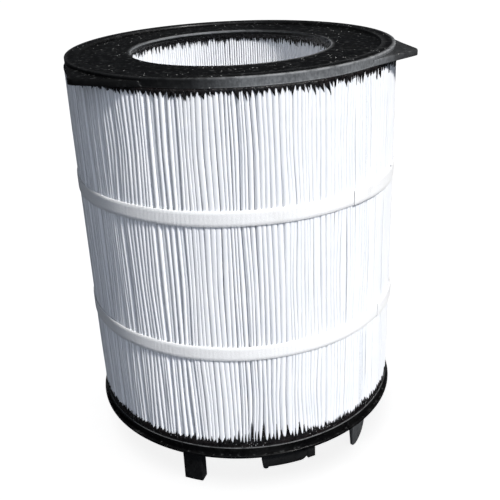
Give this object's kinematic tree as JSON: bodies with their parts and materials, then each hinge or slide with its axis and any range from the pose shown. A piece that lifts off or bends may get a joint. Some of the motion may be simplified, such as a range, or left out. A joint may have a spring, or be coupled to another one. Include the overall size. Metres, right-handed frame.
{
  "type": "pleated filter cartridge",
  "caption": "Tall annular filter cartridge: a pleated white nonwoven ring between a lugged top end ring and a footed bottom end ring.",
  "frame": {"origin": "on the cartridge's axis, in the plane of the underside of the bottom end ring, at the mouth of its bore; the feet reach 42 mm below it", "axes": "+Z along the axis to the top end ring; +X through one of the three lugs of the top end ring"},
  "size_m": [0.4474, 0.425, 0.532],
  "materials": {
    "end_ring": "moulded black plastic, semi-gloss, scuffed",
    "potting": "cast black urethane",
    "media": "white spun-bonded polyester",
    "band": "off-white nonwoven strap",
    "glue": "hot-melt glue",
    "seal": "matt rubber"
  },
  "bodies": {
    "root": {"top_end_ring": "end_ring", "top_potting": "potting", "pleated_media": "media", "media_seam": "media", "upper_band": "band", "upper_band_glue": "glue", "lower_band": "band", "lower_band_glue": "glue", "bottom_potting": "potting", "bottom_end_ring": "end_ring", "post_feet": "end_ring", "fin_feet": "end_ring", "locking_walls": "end_ring", "seat_seal": "seal"}
  },
  "joints": []
}
